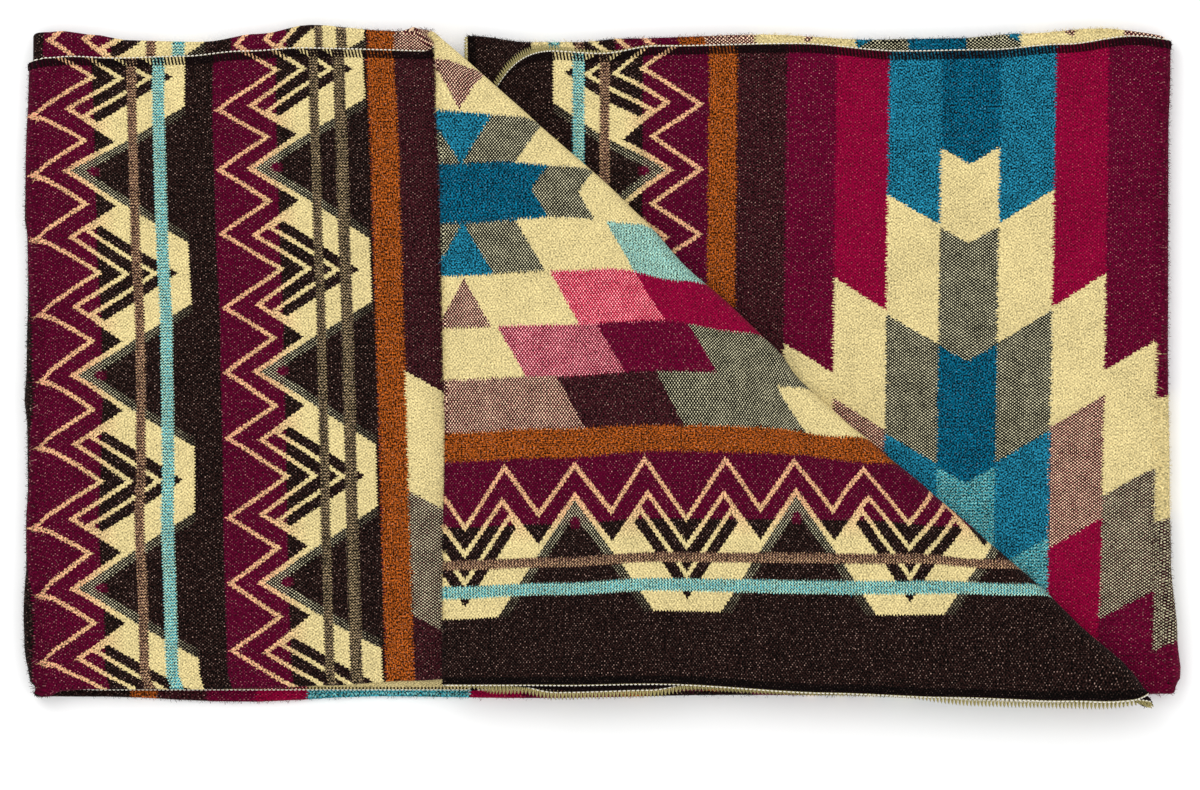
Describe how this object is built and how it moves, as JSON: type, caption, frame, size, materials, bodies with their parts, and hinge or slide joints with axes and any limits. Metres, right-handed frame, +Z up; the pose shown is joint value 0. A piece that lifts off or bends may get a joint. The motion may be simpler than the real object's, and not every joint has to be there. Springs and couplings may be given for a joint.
{
  "type": "folded alpaca blanket",
  "caption": "Brushed alpaca blanket, folded in thirds across and in three along its length, with one corner turned back to show the reverse.",
  "frame": {"origin": "on the surface that the blanket lies on, under the middle of the folded blanket", "axes": "+X along the folded length towards the right-hand fold, +Y across towards the side hems, +Z up"},
  "size_m": [0.9216, 0.5372, 0.0416],
  "materials": {
    "brushed_alpaca": "brushed woven alpaca, soft pile, patterned bands in brown, maroon, teal, aqua, orange and cream"
  },
  "bodies": {
    "root": {"blanket": "brushed_alpaca"}
  },
  "joints": []
}
